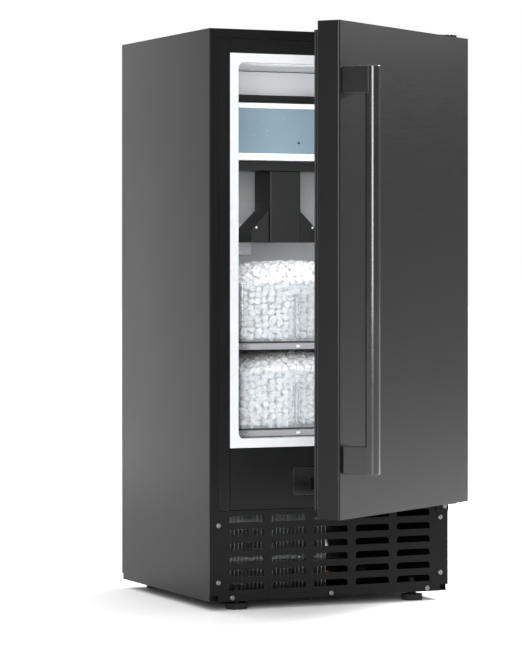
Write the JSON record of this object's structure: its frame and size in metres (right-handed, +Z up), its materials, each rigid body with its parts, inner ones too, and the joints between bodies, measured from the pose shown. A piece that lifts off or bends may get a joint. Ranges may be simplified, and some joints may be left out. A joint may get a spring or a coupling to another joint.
{
  "type": "ice maker",
  "caption": "Undercounter ice maker with a side-hinged insulated door, bar handle, two slide-out clear ice bins, a blue water curtain over the ice mould and a louvred base grille.",
  "frame": {"origin": "middle of the cabinet's footprint on the floor, level with the undersides of the four feet", "axes": "+Z up, -Y out of the front, +X to the right seen from the front"},
  "size_m": [0.3935, 0.6434, 0.8267],
  "materials": {
    "black_steel": "satin",
    "black_stainless": "brushed, dark",
    "black_plastic": "fine texture",
    "fascia_plastic": "semi-gloss",
    "white_plastic": "semi-gloss",
    "grey_plastic": "satin",
    "clear_plastic": "clear moulded",
    "blue_plastic": "translucent",
    "lens": "glossy",
    "galvanised": "galvanised",
    "bright_steel": "zinc plated",
    "handle_black": "gloss black coating",
    "rubber": "matte",
    "foam": "rigid foam",
    "copper": "bright copper",
    "aluminium": "mill finish",
    "compressor_black": "gloss enamel",
    "circuit_board": "solder mask",
    "hose": "translucent hose",
    "valve_plastic": "moulded"
  },
  "bodies": {
    "cabinet": {"side_panel_left": "black_steel", "side_panel_right": "black_steel", "top_panel": "black_steel", "back_panel": "black_steel", "rear_cover": "galvanised", "base_pan": "galvanised", "divider_plate": "galvanised", "cabinet_foam": "foam", "inner_liner": "white_plastic", "breaker_strips": "black_plastic", "control_fascia": "fascia_plastic", "control_housing": "black_plastic", "display_lens": "lens", "control_board": "circuit_board", "grille_panel": "black_steel", "cabinet_screws": "bright_steel", "hinge_brackets": "black_steel", "hinge_pins": "bright_steel", "bin_shelves": "grey_plastic", "curtain_cheeks": "white_plastic", "evaporator_trim": "black_plastic", "evaporator_cover": "grey_plastic", "ice_mould": "aluminium", "evaporator_coil": "copper", "water_distributor": "white_plastic", "water_tray": "black_plastic", "pump_housing": "black_plastic", "pump_cover": "black_plastic", "water_pump": "black_plastic", "water_hoses": "hose", "water_inlet_valve": "valve_plastic", "ice_level_sensor": "white_plastic", "compressor": "compressor_black", "compressor_grommets": "rubber", "condenser": "aluminium", "fan_shroud": "black_plastic", "fan_motor": "galvanised", "copper_pipes": "copper", "cord_gland": "black_plastic"},
    "door": {"door_skin": "black_stainless", "door_end_caps": "black_plastic", "door_inner_panel": "white_plastic", "door_foam": "foam", "door_gasket": "rubber", "hinge_bushes": "white_plastic", "handle_bar": "handle_black", "handle_brackets": "handle_black", "handle_screws": "bright_steel"},
    "curtain": {"water_curtain": "blue_plastic", "curtain_bars": "white_plastic"},
    "upper_bin": {"upper_bin": "clear_plastic"},
    "lower_bin": {"lower_bin": "clear_plastic"},
    "power_button": {"power_button": "fascia_plastic"},
    "timer_button": {"timer_button": "fascia_plastic"},
    "clean_button": {"clean_button": "fascia_plastic"},
    "fan": {"fan_blade": "black_plastic"},
    "foot_front_left": {"foot_front_left": "rubber"},
    "foot_front_right": {"foot_front_right": "rubber"},
    "foot_rear_left": {"foot_rear_left": "rubber"},
    "foot_rear_right": {"foot_rear_right": "rubber"}
  },
  "joints": [
    {"name": "door_hinge", "type": "hinge", "parent": "cabinet", "child": "door", "pos_m": [0.1831, -0.188, 0.48], "axis": [0, 0, 1], "range_deg": [-34.5, 70]},
    {"name": "curtain_hinge", "type": "hinge", "parent": "cabinet", "child": "curtain", "pos_m": [0, -0.018, 0.727], "axis": [-1, 0, 0], "range_deg": [0, 30]},
    {"name": "upper_bin_slide", "type": "slide", "parent": "cabinet", "child": "upper_bin", "axis": [0, -1, 0], "range_m": [0, 0.045]},
    {"name": "lower_bin_slide", "type": "slide", "parent": "cabinet", "child": "lower_bin", "axis": [0, -1, 0], "range_m": [0, 0.045]},
    {"name": "power_press", "type": "slide", "parent": "cabinet", "child": "power_button", "axis": [0, 1, 0], "range_m": [0, 0.001], "stiffness_N_per_m": 800},
    {"name": "timer_press", "type": "slide", "parent": "cabinet", "child": "timer_button", "axis": [0, 1, 0], "range_m": [0, 0.001], "stiffness_N_per_m": 800},
    {"name": "clean_press", "type": "slide", "parent": "cabinet", "child": "clean_button", "axis": [0, 1, 0], "range_m": [0, 0.001], "stiffness_N_per_m": 800},
    {"name": "fan_spin", "type": "hinge", "parent": "cabinet", "child": "fan", "pos_m": [-0.072, -0.096, 0.0802], "axis": [0, 1, 0], "continuous": true},
    {"name": "foot_front_left_turn", "type": "hinge", "parent": "cabinet", "child": "foot_front_left", "pos_m": [-0.1405, -0.1504, 0], "axis": [0, 0, 1], "continuous": true},
    {"name": "foot_front_right_turn", "type": "hinge", "parent": "cabinet", "child": "foot_front_right", "pos_m": [0.1405, -0.1504, 0], "axis": [0, 0, 1], "continuous": true},
    {"name": "foot_rear_left_turn", "type": "hinge", "parent": "cabinet", "child": "foot_rear_left", "pos_m": [-0.1405, 0.1504, 0], "axis": [0, 0, 1], "continuous": true},
    {"name": "foot_rear_right_turn", "type": "hinge", "parent": "cabinet", "child": "foot_rear_right", "pos_m": [0.1405, 0.1504, 0], "axis": [0, 0, 1], "continuous": true}
  ]
}
